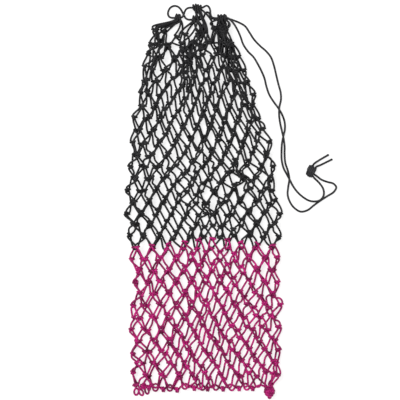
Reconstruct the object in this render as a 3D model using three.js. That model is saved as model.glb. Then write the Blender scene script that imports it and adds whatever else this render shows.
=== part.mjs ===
// Knotted hay net, laid flat and empty: a tube of diamond meshes, black above and pink
// below, laced shut along the bottom and gathered at the mouth on a doubled drawstring.
// Millimetres. +X right across the net, +Y from the laced bottom to the mouth, +Z up.
// The origin is on the floor under the middle of the net.
import * as THREE from 'three';

// ---- Driving dimensions ----
const meshesRound = 20;          // loops in one row, half in the front layer, half in the back
const blackRows = 18;            // rows of black mesh below the mouth loops
const upperBlackRows = 7;        // of these, the rows drawn long by the gathered mouth
const pinkRows = 12;
const firstKnotY = 463;          // knots that hang the mouth loops
const upperPitch = 35;           // knot row to knot row, drawn long near the mouth
const blackPitch = 31.7;
const pinkPitch = 30.8;

const twine = 4;                 // square section, of the area of the 4.5 mm round twine
const knotDepth = 7;             // a knot is thicker than its twine
const netHeight = 20;            // back layer's underside to front layer's upper side
const foldSpan = 0.02;           // share of the way round that each side fold takes
const gap = 0.4;                 // clearance between pieces that touch
const longestMitre = 13;         // the tallest a mesh corner is drawn

const cord = 5;                  // drawstring diameter
const cordSides = 8;
const lowRun = 7;                // height of the drawstring's back run
const highRun = 21.5;            // height of its front run
const floorRun = cord / 2;       // a cord lying on the floor
const crossing = floorRun + cord + gap;

// Side edges of the flat net, as [y, x] from the mouth to the bottom.
const leftEdge = [
  [490, -112], [478, -128], [440, -147], [396, -161], [330, -175], [220, -197],
  [154, -205], [66, -211], [-22, -218], [-110, -208], [-192, -202], [-400, -202], [-520, -193],
];
const rightEdge = [
  [490, 92], [478, 106], [440, 122], [380, 127], [300, 143], [228, 163],
  [170, 185], [91, 199], [8, 206], [-60, 212], [-124, 208], [-400, 210], [-454, 218], [-520, 204],
];

// The mouth loops ride on the drawstring in bunches: [x of the loops, y, bunch height].
const leftBunch = { x: [-88, -78.5, -70], front: 500, back: 500 };
const middleBunch = { x: [-34, -25.5, -17, -8.5], front: 525, back: 495 };
const rightBunch = { x: [36.5, 45, 53.5, 62], front: 497, back: 497 };
const mouthLoops = [leftBunch, middleBunch, rightBunch].flatMap((bunch) => (
  bunch.x.map((x) => ({ x, front: bunch.front, back: bunch.back }))
));

// Loops bunched on the cord: [name, first x, last x, y, height, loops].
const sleeves = [
  ['mouth_bunch_left', -80, -66, 500, lowRun, 3],
  ['mouth_bunch_middle_front', -32, -8, 525, highRun, 5],
  ['mouth_bunch_middle_back', -34, -14, 495, lowRun, 4],
  ['mouth_bunch_right_front', 36, 60, 497, highRun, 5],
  ['mouth_bunch_right_back', 36, 60, 497, lowRun, 5],
];

// Drawstring: front run with a bight standing up between its bunches, slack bight past the
// left bunch, back run.
const mouthRoute = [
  [60.3, 497, highRun], [44, 497, highRun], [26, 497, highRun], [20.6, 498.6, highRun],
  [17.4, 503.2, highRun], [16.2, 510, highRun], [15.4, 518, highRun], [12.6, 526, highRun],
  [7, 530.8, highRun], [1.8, 529.6, highRun], [-2.8, 526.8, highRun], [-7.8, 525.1, highRun],
  [-14, 525, highRun], [-28, 525, highRun], [-42, 525, highRun], [-49, 522.5, 19.5],
  [-54, 516, 15.5],
  [-57, 508, 11], [-61, 502, 8], [-67, 500, lowRun], [-79, 500, lowRun], [-90, 500, lowRun],
  [-97, 503, 5.4], [-100.5, 511, 3.4], [-99, 520, 2.7], [-94, 528, 2.5], [-85, 533, 2.5],
  [-75, 532, 2.5], [-67, 526, 2.5], [-61, 516, 2.5], [-56, 506, 2.8], [-51, 498.5, 4.5],
  [-44, 495, lowRun], [-30, 495, lowRun], [-14, 495, lowRun], [-5, 498, 6], [-1, 505, 4.5],
  [2, 512.5, 3.4], [8, 516, 3.2], [13.5, 512, 3.7], [16, 504.5, 5.2], [19.5, 498.6, 6.6],
  [25, 497, lowRun], [36, 497, lowRun], [48, 497, lowRun], [60.3, 497, lowRun],
];

// Leg from the front run: over the right shoulder of the net, down to the floor outside it
// and over the other leg wherever they cross.
const legARoute = [
  [60.8, 497, highRun], [64.5, 496.6, highRun], [71, 491.5, 22.6], [80, 481, 23.1],
  [90, 464, 23.2], [98, 446, 23.2], [106, 424, 23.2], [119, 405, 23.2], [134, 390, 21.5],
  [147, 370, 13], [157, 352, 6.2], [165, 333, 3.2], [170, 312, 2.6], [178, 289, 3.4],
  [190, 269, 6.6], [203, 251, crossing], [213, 234, 6.2], [220, 214, 3.6],
  [220.5, 193, 5.6], [216, 174, crossing], [212.5, 154, 5], [211.5, 132, 2.7],
  [212, 110, 2.7], [217, 88, 3.8], [226, 70, 7], [234, 55, crossing], [243, 38, 5.6],
  [256, 21, 3], [272, 7, 2.6], [288, -2, 3.2], [303, -4, 5.4], [316, -1, crossing],
  [325, 8, 6.6], [328, 20, 3.8], [325, 33, 2.7], [315, 47, 3.4], [301.8, 59.6, 6],
];

// Leg from the back run: round the outside of the shoulder and along the floor.
const legBRoute = [
  [60.8, 497, lowRun], [64.5, 497, lowRun], [71.5, 495.8, 6.2], [82, 492.5, 4.4],
  [98, 486, 2.9], [112, 477, floorRun], [123, 461, floorRun], [136, 441, floorRun],
  [153, 423, floorRun], [170, 408, floorRun], [183, 391, floorRun], [191, 368, floorRun],
  [197, 343, floorRun], [203, 318, floorRun], [209, 296, floorRun], [210, 276, floorRun],
  [205.5, 254, floorRun], [205, 232, floorRun], [208, 210, floorRun],
  [212.5, 190, floorRun], [217, 170, floorRun], [220, 148, floorRun],
  [220, 124, floorRun], [222, 102, floorRun], [229, 80, floorRun], [233, 58, floorRun],
  [230, 36, floorRun], [228.5, 14, floorRun], [235, -6, floorRun], [247, -22, floorRun],
  [264, -32, floorRun], [283, -28, floorRun], [300, -15, floorRun], [318, -2, floorRun],
  [338, 11, floorRun], [355, 22, floorRun], [362, 35, floorRun], [354, 45, floorRun],
  [338, 49.5, floorRun], [321, 56, 3.4], [308.4, 65.2, 6],
];

const knotPlace = [291.2, 79];
const knotScale = [0.96, 1.14];
const tailARoute = [
  [299.2, 98.2, 9], [305.5, 103.2, 5.4], [314, 108.6, 3], [324, 114.6, 2.8], [337.6, 122.4, 2.8],
];
const tailBRoute = [
  [306, 91.2, 8], [313, 93.8, 5], [322, 97.6, 3], [333, 103, 2.8], [347.4, 110.2, 2.8],
];
const sealedEnd = { length: 6, radius: 2.8 };

// Lacing twine along the closed bottom, and the knots at its ends.
const lacingRoute = [
  [-168, -511, 10], [-150, -503, 10], [-130, -509, 10], [-110, -502, 10], [-90, -509, 10],
  [-70, -502, 10], [-50, -509, 10], [-30, -502, 10], [-8, -510, 10], [14, -502, 10],
  [34, -509, 10], [54, -502, 10], [74, -509, 10], [94, -502, 10], [114, -509, 10],
  [134, -505, 10], [150, -510, 10], [164, -518, 10],
];
const cornerKnot = { place: [-181, -517], radius: 11, height: 18 };
const tieKnot = { place: [178, -526], radius: 13, height: 21 };

// ---- Materials ----
function cloth(color, roughness) {
  return new THREE.MeshStandardMaterial({ color, roughness, metalness: 0 });
}
const blackTwine = cloth(0x17171a, 0.8);
const pinkTwine = cloth(0xb8145f, 0.75);
const blackCord = cloth(0x1c1c20, 0.7);
const meltedCord = cloth(0x121214, 0.35);

// ---- The flat tube that the rows of mesh run round ----
const up = new THREE.Vector3(0, 1, 0);      // along the tube, towards the mouth

function edgeAt(edge, y) {
  const next = edge.findIndex(([stationY]) => stationY <= y);
  if (next === 0) return edge[0][1];
  if (next < 0) return edge[edge.length - 1][1];
  const [y0, x0] = edge[next - 1];
  const [y1, x1] = edge[next];
  return THREE.MathUtils.mapLinear(y, y0, y1, x0, x1);
}

// Outward normal at a share of the way round: 0 is the left fold, then front, 0.5 the
// right fold, then back.
function outwardAt(share) {
  const turn = ((share + 0.25) % 0.5) - 0.25;
  const side = (share + 0.25) % 1 < 0.5 ? -1 : 1;
  if (Math.abs(turn) < foldSpan) {
    const angle = (turn / foldSpan) * (Math.PI / 2);
    return new THREE.Vector3(side * Math.cos(angle), 0, -side * Math.sin(angle));
  }
  return new THREE.Vector3(0, 0, share < 0.5 ? 1 : -1);
}

// Middle of a twine of this depth that lies in the skin of the flat tube.
function skinPoint(share, y, depth) {
  const radius = netHeight / 2;
  const outward = outwardAt(share);
  const left = edgeAt(leftEdge, y) + radius;
  const right = edgeAt(rightEdge, y) - radius;
  const across = 0.5 - Math.abs(share - 0.5);
  const along = THREE.MathUtils.clamp((across - foldSpan) / (0.5 - 2 * foldSpan), 0, 1);
  const spine = new THREE.Vector3(THREE.MathUtils.lerp(left, right, along), y, radius);
  return spine.addScaledVector(outward, radius - depth / 2);
}

// Knot rows, counted down from the one that hangs the mouth loops.
function knotRowY(row) {
  const upper = Math.min(row, upperBlackRows);
  const black = THREE.MathUtils.clamp(row - upperBlackRows, 0, blackRows - upperBlackRows);
  const pink = Math.max(row - blackRows, 0);
  return firstKnotY - upper * upperPitch - black * blackPitch - pink * pinkPitch;
}

// Height of a mitred mesh corner, so that its bars keep the twine's width.
function mitreAt(y, pitch) {
  const reach = (edgeAt(rightEdge, y) - edgeAt(leftEdge, y)) / meshesRound;
  return Math.min((twine * Math.hypot(reach, pitch)) / reach, longestMitre);
}

// ---- Closed solids ----

// Closed loop of four-sided sections: each section has a centre, two half-size vectors.
function ringGeometry(sections) {
  const signs = [[1, 1], [-1, 1], [-1, -1], [1, -1]];
  const positions = sections.flatMap(({ centre, high, deep }) => signs.flatMap(([h, d]) => (
    centre.clone().addScaledVector(high, h).addScaledVector(deep, d).toArray()
  )));
  const indices = [];
  sections.forEach((_, index) => {
    const here = index * 4;
    const next = ((index + 1) % sections.length) * 4;
    for (let side = 0; side < 4; side += 1) {
      const other = (side + 1) % 4;
      indices.push(here + side, here + other, next + other);
      indices.push(here + side, next + other, next + side);
    }
  });
  const geometry = new THREE.BufferGeometry();
  geometry.setAttribute('position', new THREE.Float32BufferAttribute(positions, 3));
  geometry.setIndex(indices);
  geometry.computeVertexNormals();
  return geometry;
}

// One row of diamonds: a twine that zigzags once round the flat tube. Its upper corners
// are the knots, and its lower corners end just above the next row's knots.
function meshRowGeometry(row) {
  const topY = knotRowY(row - 1);
  const bottomY = knotRowY(row);
  const topMitre = mitreAt(topY, topY - bottomY);
  const bottomMitre = mitreAt(bottomY, topY - bottomY);
  const lowerY = bottomY + bottomMitre + gap;
  const shift = row % 2 === 1 ? 0.5 : 0;
  const sections = [];
  for (let half = 0; half < 2 * meshesRound; half += 1) {
    const isKnot = half % 2 === 0;
    const share = ((half / 2 + shift) % meshesRound) / meshesRound;
    const depth = isKnot ? knotDepth : twine;
    sections.push({
      centre: skinPoint(share, isKnot ? topY : lowerY, depth),
      high: up.clone().multiplyScalar((isKnot ? topMitre : bottomMitre) / 2),
      deep: outwardAt(share).multiplyScalar(depth / 2),
    });
  }
  return ringGeometry(sections);
}

// The mouth loops: long meshes whose tops are drawn together under the bunches.
function mouthRowGeometry() {
  const sleeveRadius = cord / 2 + gap + twine;
  const tip = { gapToSleeve: 3.4, link: 1.2, half: 1, deep: 1.5 };
  const foot = { gapToKnot: 4, link: 1.9, half: 1.7, deep: twine / 2 };
  const footY = firstKnotY + mitreAt(firstKnotY, upperPitch) / 2 + foot.gapToKnot;
  const corners = [];
  for (let half = 0; half < 2 * meshesRound; half += 1) {
    const share = half / (2 * meshesRound);
    const isTip = half % 2 === 0;
    const size = isTip ? tip : foot;
    const point = skinPoint(share, footY, 2 * size.deep);
    if (isTip) {
      const loop = mouthLoops[Math.round(meshesRound * (0.5 - Math.abs(share - 0.5)))];
      const bunchY = share > 0.5 ? loop.back : loop.front;
      point.x = loop.x;
      point.y = bunchY - sleeveRadius - tip.gapToSleeve;
    }
    corners.push({ point, size, outward: outwardAt(share) });
  }
  const sections = [];
  corners.forEach(({ point, size, outward }, index) => {
    const before = corners.at(index - 1).point;
    const after = corners[(index + 1) % corners.length].point;
    const arriving = point.clone().sub(before).normalize();
    const leaving = after.clone().sub(point).normalize();
    const round = new THREE.Vector3().crossVectors(up, outward);
    const link = new THREE.Vector3().crossVectors(leaving.clone().sub(arriving), outward);
    link.normalize();
    if (link.dot(round) < 0) link.negate();
    [[arriving, -size.link], [leaving, size.link]].forEach(([heading, offset]) => {
      const high = new THREE.Vector3().crossVectors(outward, heading).normalize();
      const deep = new THREE.Vector3().crossVectors(heading, high);
      sections.push({
        centre: point.clone().addScaledVector(link, offset),
        high: high.multiplyScalar(size.half),
        deep: deep.multiplyScalar(size.deep),
      });
    });
  });
  return ringGeometry(sections);
}

// Loops side by side on the cord: a ribbed sleeve with a bore for it.
function sleeveGeometry(length, loops) {
  const bore = cord / 2 + gap + 0.2;
  const crest = cord / 2 + gap + twine;
  const valley = crest - 1.2;
  const rib = length / loops;
  const profile = [new THREE.Vector2(bore, 0), new THREE.Vector2(valley, 0)];
  for (let loop = 0; loop < loops; loop += 1) {
    profile.push(new THREE.Vector2(crest, rib * (loop + 0.5)));
    profile.push(new THREE.Vector2(valley, rib * (loop + 1)));
  }
  profile.push(new THREE.Vector2(bore, length), new THREE.Vector2(bore, 0));
  return new THREE.LatheGeometry(profile, 10);
}

function cordGeometry(route, diameter, steps) {
  const section = new THREE.Shape();
  for (let side = 0; side < cordSides; side += 1) {
    const angle = ((side + 0.5) / cordSides) * 2 * Math.PI;
    const x = (Math.cos(angle) * diameter) / 2;
    const y = (Math.sin(angle) * diameter) / 2;
    if (side === 0) section.moveTo(x, y);
    else section.lineTo(x, y);
  }
  const points = route.map(([x, y, z]) => new THREE.Vector3(x, y, z));
  const extrudePath = new THREE.CatmullRomCurve3(points, false, 'centripetal');
  return new THREE.ExtrudeGeometry(section, { steps, extrudePath });
}

// A knot as a rounded lump with a flat underside.
function lumpGeometry(radius, height, sides) {
  const profile = [
    [0, 0], [0.66, 0], [0.94, 0.2], [1, 0.46], [0.86, 0.76], [0.5, 0.95], [0, 1],
  ].map(([r, h]) => new THREE.Vector2(r * radius, h * height));
  return new THREE.LatheGeometry(profile, sides).rotateX(Math.PI / 2);
}

// ---- Assembly ----
const group = new THREE.Group();

function addPiece(name, geometry, material) {
  const mesh = new THREE.Mesh(geometry, material);
  mesh.name = name;
  group.add(mesh);
  return mesh;
}

function rowName(colour, number) {
  return `${colour}_mesh_row_${String(number).padStart(2, '0')}`;
}

addPiece('mouth_loop_row', mouthRowGeometry(), blackTwine);
for (let row = 1; row <= blackRows; row += 1) {
  addPiece(rowName('black', row), meshRowGeometry(row), blackTwine);
}
for (let row = 1; row <= pinkRows; row += 1) {
  addPiece(rowName('pink', row), meshRowGeometry(blackRows + row), pinkTwine);
}

sleeves.forEach(([name, firstX, lastX, y, height, loops]) => {
  const sleeve = addPiece(name, sleeveGeometry(lastX - firstX, loops), blackTwine);
  sleeve.position.set(firstX, y, height);
  sleeve.rotation.z = -Math.PI / 2;
});

addPiece('bottom_lacing', cordGeometry(lacingRoute, cord, 34), pinkTwine);
[['bottom_corner_knot', cornerKnot], ['bottom_tie_knot', tieKnot]].forEach(([name, knot]) => {
  const lump = addPiece(name, lumpGeometry(knot.radius, knot.height, 10), pinkTwine);
  lump.position.set(knot.place[0], knot.place[1], 0);
});

addPiece('drawstring_mouth_run', cordGeometry(mouthRoute, cord, 70), blackCord);
addPiece('drawstring_leg_a', cordGeometry(legARoute, cord, 64), blackCord);
addPiece('drawstring_leg_b', cordGeometry(legBRoute, cord, 64), blackCord);

const stopperKnot = addPiece('stopper_knot', lumpGeometry(15, 25, 12), blackCord);
stopperKnot.position.set(knotPlace[0], knotPlace[1], 0);
stopperKnot.scale.set(knotScale[0], knotScale[1], 1);

[['a', tailARoute], ['b', tailBRoute]].forEach(([side, route]) => {
  addPiece(`drawstring_tail_${side}`, cordGeometry(route, cord, 8), blackCord);
  const [before, last] = route.slice(-2).map(([x, y, z]) => new THREE.Vector3(x, y, z));
  const heading = last.clone().sub(before).normalize();
  const end = new THREE.CylinderGeometry(sealedEnd.radius, sealedEnd.radius, sealedEnd.length, 10);
  const cap = addPiece(`sealed_end_${side}`, end, meltedCord);
  cap.position.copy(last).addScaledVector(heading, gap + sealedEnd.length / 2);
  cap.quaternion.setFromUnitVectors(up, heading);
});

export default group;
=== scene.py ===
import math

import bpy
import numpy as np
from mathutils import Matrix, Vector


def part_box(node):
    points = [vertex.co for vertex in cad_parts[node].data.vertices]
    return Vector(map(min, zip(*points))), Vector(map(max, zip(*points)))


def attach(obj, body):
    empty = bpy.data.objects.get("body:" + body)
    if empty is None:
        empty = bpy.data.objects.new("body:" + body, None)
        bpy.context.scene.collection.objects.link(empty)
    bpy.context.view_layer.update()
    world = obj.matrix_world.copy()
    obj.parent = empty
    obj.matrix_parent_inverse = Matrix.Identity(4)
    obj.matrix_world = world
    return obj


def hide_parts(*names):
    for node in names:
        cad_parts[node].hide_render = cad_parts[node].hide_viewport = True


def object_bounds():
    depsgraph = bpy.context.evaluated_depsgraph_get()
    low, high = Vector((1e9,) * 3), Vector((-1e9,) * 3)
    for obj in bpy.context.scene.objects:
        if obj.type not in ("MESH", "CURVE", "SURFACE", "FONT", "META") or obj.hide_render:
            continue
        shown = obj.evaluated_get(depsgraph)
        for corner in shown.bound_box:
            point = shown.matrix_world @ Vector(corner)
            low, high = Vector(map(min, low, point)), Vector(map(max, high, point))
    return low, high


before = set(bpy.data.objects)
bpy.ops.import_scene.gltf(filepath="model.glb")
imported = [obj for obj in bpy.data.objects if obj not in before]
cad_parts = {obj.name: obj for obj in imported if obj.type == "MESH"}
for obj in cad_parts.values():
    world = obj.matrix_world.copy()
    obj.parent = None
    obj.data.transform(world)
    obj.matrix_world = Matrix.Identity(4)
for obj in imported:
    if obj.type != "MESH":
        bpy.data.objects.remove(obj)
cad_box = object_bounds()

# A knotted hay net, laid flat and empty. Metres, in the CAD frame: +X right, +Y to the mouth.
# Each row of mesh is one closed length of twine: it wraps each knot of the row above it and
# makes the bight of each knot in the row below, as a netmaker ties it.

rng = np.random.default_rng(11)


def middle_of(node):
    low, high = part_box(node)
    return (low + high) / 2


# ---- Driving dimensions ----
MESHES = 20                  # loops in one row, right round the tube
BLACK_ROWS = 18
UPPER_BLACK_ROWS = 7         # of these, the rows drawn long by the gathered mouth
PINK_ROWS = 12
KNOT_ROWS = BLACK_ROWS + PINK_ROWS
FIRST_KNOT_Y = 0.463
UPPER_PITCH = 0.035
BLACK_PITCH = 0.0317
PINK_PITCH = 0.0317

TWINE = 0.0056               # netting twine, diameter
TWINE_SIDES = 8
TWINE_PLY = 0.0055           # length of one turn of its plies
KNOT_SIZE = 0.0042           # unit of a knot's shape: its strands are pressed flat
KNOT_PRESS = 0.80            # how close together strands in a knot lie, in its units
LEG_END = 1.5                # a knot's legs end this far from its middle, in its units
FOOT_RADIUS = 1.6            # of a last mesh's rounded foot, in a knot's units
KNOT_STEP = 0.0015           # ring to ring inside a knot

BAR_LENGTH = 0.0400          # of twine, knot to knot
SHORTEST_BAR = 0.70 * BAR_LENGTH
LONGEST_BAR = 0.985 * BAR_LENGTH
BAR_POINTS = 6               # rings between two knots
BAR_PULL = 2.5               # how much more a bar's ends follow the bar than the knot
SLACK_BAR = 0.62 * BAR_LENGTH    # a bar shorter than this bows sideways
MOST_SLACK = 0.003
MOST_BOW = 0.003
SAG_STEP = 0.00012           # how far a bar sinks in each round of coming to rest
MOUTH_BAR_STEP = 0.0028      # ring to ring between the drawstring and the first knots
MOUTH_BAR_BOW = 0.008
LAST_DROP = 0.002            # how much longer the last meshes hang
LACED_RISE = 0.0036          # of the back layer's last meshes, for the lacing under them
LACING_PITCH = 0.0044        # from turn to turn round a pair of last meshes
SOFT_TOUCH = 0.0007          # how far a strand sinks into the one below it
CLEAR = 0.0001               # from the floor to the lowest twine

# How the layers lie on each other, from the bottom up: at a height, how far the tube has turned
# on itself, in meshes, and how far each layer has slipped along the net from the folds.
LAYER_OFFSETS = [
    (-0.51, 0, 0), (-0.475, -0.15, 0.008), (-0.35, -0.15, 0.008), (-0.27, -0.06, 0.004),
    (-0.18, 0, 0.001), (-0.05, 0.08, 0.004), (0.10, 0.12, 0.0075), (0.25, 0.12, 0.0085),
    (0.38, 0.12, 0.0085), (0.463, 0.05, 0.004),
]
EDGE_INSET = 0.0015          # from the CAD rows' edge to the knots at a side fold
FRONT_RISE = 0.034           # how far the front layer is pushed up at the colour border
RISE_PLACE = (0.030, -0.120)
RISE_REACH = (0.085, 0.150)
SCATTER = 0.0042             # of single knots from where the net drifts to
KNOT_TURN = 0.25             # spread of a knot's turn in plan, radians
KNOT_TILT = 0.15             # and of its tilts
DRIFT = (0.005, 0.009)       # of the net's layers, by wide waves, across and along
DRIFT_WAVES = (0.09, 0.30)
TANGLE = (0.005, 0.013)      # of the same layers near the mouth, by short waves
TANGLE_WAVES = (0.04, 0.11)
TANGLED_ROWS = 9             # rows that lie less evenly the nearer they are to the mouth
GATHERED_ROWS = 5            # rows whose knots are drawn in under their mouth loops
CROWDED_Y = 0.40             # above it knots may lie closer together
KNOT_GAP = 0.015             # least distance between knots of one layer
LAYER_GAP = 0.009            # and between knots of different layers
CROWDED = 0.6                # share of those distances left in the mouth

CORD = 0.0056                # drawstring, diameter
CORD_SIDES = 12
CORD_STEP = 0.0025
CORD_PLY = 0.0046

CAMERA_X = -0.0124
CAMERA_HEIGHT = 3.2
VIEW_WIDTH = 1.1             # of floor that the camera sees
SENSOR = 36                  # millimetres

MOUTH_ROUTE = [
    (0.0603, 0.497, 0.0215), (0.044, 0.497, 0.0215), (0.026, 0.497, 0.0215),
    (0.0206, 0.4986, 0.0215), (0.0174, 0.5032, 0.0215), (0.0162, 0.510, 0.0215),
    (0.0154, 0.518, 0.0215), (0.0126, 0.526, 0.0215), (0.007, 0.5308, 0.0215),
    (0.0018, 0.5296, 0.0215), (-0.0028, 0.5268, 0.0215), (-0.0078, 0.5251, 0.0215),
    (-0.014, 0.525, 0.0215), (-0.028, 0.525, 0.0215), (-0.042, 0.525, 0.0215),
    (-0.049, 0.5225, 0.0195), (-0.054, 0.516, 0.0155),
    (-0.057, 0.508, 0.011), (-0.061, 0.502, 0.008), (-0.067, 0.500, 0.007),
    (-0.079, 0.500, 0.007), (-0.090, 0.500, 0.007), (-0.097, 0.503, 0.0054),
    (-0.1005, 0.511, 0.0034), (-0.099, 0.520, 0.0027), (-0.094, 0.528, 0.0025),
    (-0.085, 0.533, 0.0025), (-0.075, 0.532, 0.0025), (-0.067, 0.526, 0.0025),
    (-0.061, 0.516, 0.0025), (-0.056, 0.506, 0.0028), (-0.051, 0.4985, 0.0045),
    (-0.044, 0.495, 0.007), (-0.030, 0.495, 0.007), (-0.014, 0.495, 0.007),
    (-0.005, 0.498, 0.006), (-0.001, 0.505, 0.0045), (0.002, 0.5125, 0.0034),
    (0.008, 0.516, 0.0032), (0.0135, 0.512, 0.0037), (0.016, 0.5045, 0.0052),
    (0.0195, 0.4986, 0.0066), (0.025, 0.497, 0.007), (0.036, 0.497, 0.007),
    (0.048, 0.497, 0.007), (0.0603, 0.497, 0.007),
]
LEG_A_ROUTE = [
    (0.0608, 0.497, 0.0215), (0.0645, 0.4966, 0.0215), (0.071, 0.4915, 0.0226),
    (0.080, 0.481, 0.0231), (0.090, 0.464, 0.0232), (0.098, 0.446, 0.0232),
    (0.106, 0.424, 0.0232), (0.119, 0.405, 0.0232), (0.134, 0.390, 0.0215),
    (0.147, 0.370, 0.013), (0.157, 0.352, 0.0062), (0.165, 0.333, 0.0032),
    (0.170, 0.312, 0.0026), (0.178, 0.289, 0.0034), (0.190, 0.269, 0.0066),
    (0.203, 0.251, 0.0079), (0.213, 0.234, 0.0062), (0.220, 0.214, 0.0036),
    (0.2205, 0.193, 0.0056), (0.216, 0.174, 0.0079), (0.2125, 0.154, 0.005),
    (0.2115, 0.132, 0.0027), (0.212, 0.110, 0.0027), (0.217, 0.088, 0.0038),
    (0.226, 0.070, 0.007), (0.234, 0.055, 0.0079), (0.243, 0.038, 0.0056),
    (0.256, 0.021, 0.003), (0.272, 0.007, 0.0026), (0.288, -0.002, 0.0032),
    (0.303, -0.004, 0.0054), (0.316, -0.001, 0.0079), (0.325, 0.008, 0.0066),
    (0.328, 0.020, 0.0038), (0.325, 0.033, 0.0027), (0.315, 0.047, 0.0034),
    (0.3018, 0.0596, 0.006),
]
LEG_B_ROUTE = [
    (0.0608, 0.497, 0.007), (0.0645, 0.497, 0.007), (0.0715, 0.4958, 0.0062),
    (0.082, 0.4925, 0.0044), (0.098, 0.486, 0.0029), (0.112, 0.477, 0.0025),
    (0.123, 0.461, 0.0025), (0.136, 0.441, 0.0025), (0.153, 0.423, 0.0025),
    (0.170, 0.408, 0.0025), (0.183, 0.391, 0.0025), (0.191, 0.368, 0.0025),
    (0.197, 0.343, 0.0025), (0.203, 0.318, 0.0025), (0.209, 0.296, 0.0025),
    (0.210, 0.276, 0.0025), (0.2055, 0.254, 0.0025), (0.205, 0.232, 0.0025),
    (0.208, 0.210, 0.0025), (0.2125, 0.190, 0.0025), (0.217, 0.170, 0.0025),
    (0.220, 0.148, 0.0025), (0.220, 0.124, 0.0025), (0.222, 0.102, 0.0025),
    (0.229, 0.080, 0.0025), (0.233, 0.058, 0.0025), (0.230, 0.036, 0.0025),
    (0.2285, 0.014, 0.0025), (0.235, -0.006, 0.0025), (0.247, -0.022, 0.0025),
    (0.264, -0.032, 0.0025), (0.283, -0.028, 0.0025), (0.300, -0.015, 0.0025),
    (0.318, -0.002, 0.0025), (0.338, 0.011, 0.0025), (0.355, 0.022, 0.0025),
    (0.362, 0.035, 0.0025), (0.354, 0.045, 0.0025), (0.338, 0.0495, 0.0025),
    (0.321, 0.056, 0.0034), (0.3084, 0.0652, 0.006),
]
TAIL_A_ROUTE = [
    (0.2992, 0.0982, 0.009), (0.3055, 0.1032, 0.0054), (0.314, 0.1086, 0.003),
    (0.324, 0.1146, 0.0028), (0.3376, 0.1224, 0.0028),
]
TAIL_B_ROUTE = [
    (0.306, 0.0912, 0.008), (0.313, 0.0938, 0.005), (0.322, 0.0976, 0.003),
    (0.333, 0.103, 0.0028), (0.3474, 0.1102, 0.0028),
]

CORNER_KNOT = middle_of("bottom_corner_knot")
TIE_KNOT = middle_of("bottom_tie_knot")
STOPPER_KNOT = middle_of("stopper_knot")

STOPPER_HEIGHT = 0.011
# The stopper knot's strands, inner and outer: radii of the ball each is wound on, the axis it
# is wound about, how many turns it has, and how far they spread along the axis.
STOPPER_STRANDS = [
    ((0.0080, 0.0098, 0.0054), (0.5, 0.85, 0.2), 3.2, 0.70),
    ((0.0128, 0.0152, 0.0084), (0.85, -0.5, 0.1), 4.2, 0.74),
]
MELTED_END = [                   # along a melted end: place, and share of the cord's diameter
    (-0.0012, 1.02), (-0.0004, 1.06), (0.0004, 1.1), (0.0012, 1.14), (0.0020, 1.15),
    (0.0028, 1.1), (0.0036, 0.98), (0.0044, 0.74), (0.0052, 0.3),
]

# Last meshes that are pulled up into the corner knot and the tie knot: their index round the
# tube, and where their feet lie from the middle of the knot.
TIED_MESHES = [
    (0, CORNER_KNOT, -0.004, 0.018), (MESHES // 2 - 1, TIE_KNOT, -0.006, 0.020),
    (MESHES // 2, TIE_KNOT, 0.004, 0.024), (MESHES // 2 + 1, TIE_KNOT, -0.001, 0.018),
]
# Spare knots by the corner: place from the middle of the corner knot, height and turn.
CORNER_BENDS = [
    (-0.007, 0.010, 0.006, 0.4), (0.011, 0.006, 0.009, 2.2), (0.034, 0.010, 0.008, 1.3),
]
# Loose loops there: place, length, width and heading.
CORNER_LOOPS = [
    (-0.006, -0.009, 0.019, 0.012, 1.45), (0.007, -0.011, 0.018, 0.010, 2.0),
    (0.023, -0.006, 0.019, 0.010, 1.75),
]
TIE_HEIGHT = 0.0115
TIE_CORE = [(0.0005, 0.016, 0.001), (0.001, 0, 0), (-0.0006, -0.020, -0.001)]
TIE_FLATNESS = 0.8

# A loose sheet bend, in a knot's units: the bight comes down from the mesh above, and the
# wrap goes up through it, round behind both its legs, and under itself in front.
BIGHT = [
    (-2.9, 4.2, 0), (-1.5, 2.6, 0), (-0.95, 1.3, 0), (-1, 0, 0), (-0.75, -1.1, 0), (0, -1.6, 0),
    (0.75, -1.1, 0), (1, 0, 0), (0.95, 1.3, 0), (1.5, 2.6, 0), (2.9, 4.2, 0),
]
WRAP = [
    (-2.9, -4.2, 0), (-1.5, -2.9, -0.5), (-0.5, -1.9, -1.1), (0, -0.9, -0.2), (0, -0.5, 1.2),
    (0.15, 0.15, 2), (0.8, 0.8, 1.6), (1.8, 1.1, 0.6), (1.9, 1.3, -0.5), (0.9, 1.4, -1.2),
    (-0.9, 1.3, -1.2), (-1.9, 0.9, -0.5), (-1.9, 0.4, 0.6), (-1, 0.1, 1.1), (0.1, -0.1, 1),
    (1, -0.4, 1.1), (1.7, -1.2, 0.7), (1.9, -2.6, 0.1), (2.9, -4.2, 0),
]


# ---- Curves ----
def unit(vectors):
    return vectors / np.linalg.norm(vectors, axis=-1, keepdims=True)


def run_along(path):
    """How far each point of a path is from its start."""
    steps = np.linalg.norm(np.diff(path, axis=0), axis=1)
    return np.concatenate([[0], np.cumsum(steps)])


def spaced(path, step):
    """The same path with its points evenly spaced."""
    run = run_along(path)
    places = np.linspace(0, run[-1], max(3, int(round(run[-1] / step)) + 1))
    return np.stack([np.interp(places, run, path[:, axis]) for axis in range(3)], axis=1)


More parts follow.
